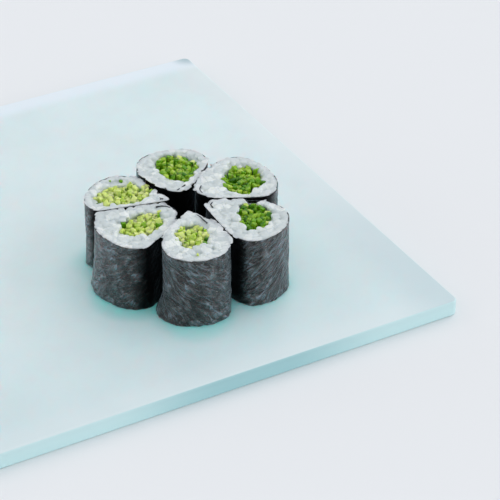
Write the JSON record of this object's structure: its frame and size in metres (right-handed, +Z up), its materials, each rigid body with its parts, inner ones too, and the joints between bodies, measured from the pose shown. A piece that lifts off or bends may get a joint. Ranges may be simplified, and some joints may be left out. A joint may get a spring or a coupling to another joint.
{
  "type": "cucumber maki rolls on a glass board",
  "caption": "Cucumber maki rolls standing cut side up in a ring on a square frosted glass serving board.",
  "frame": {"origin": "middle of the board's underside", "axes": "+Z up, +Y to the board's far side, +X to the right along the near side; the rolls stand right of the middle, towards the near side"},
  "size_m": [0.2, 0.2, 0.0328],
  "materials": {
    "glass": "frosted faces, polished edge",
    "nori": "satin, finely wrinkled",
    "rice": "moist, slightly translucent",
    "cucumber": "wet cut flesh with green skin"
  },
  "bodies": {
    "root": {"board": "glass", "nori_front": "nori", "rice_front": "rice", "cucumber_front": "cucumber", "nori_front_right": "nori", "rice_front_right": "rice", "cucumber_front_right": "cucumber", "nori_back_right": "nori", "rice_back_right": "rice", "cucumber_back_right": "cucumber", "nori_back": "nori", "rice_back": "rice", "cucumber_back": "cucumber", "nori_back_left": "nori", "rice_back_left": "rice", "cucumber_back_left": "cucumber", "nori_front_left": "nori", "rice_front_left": "rice", "cucumber_front_left": "cucumber"}
  },
  "joints": []
}
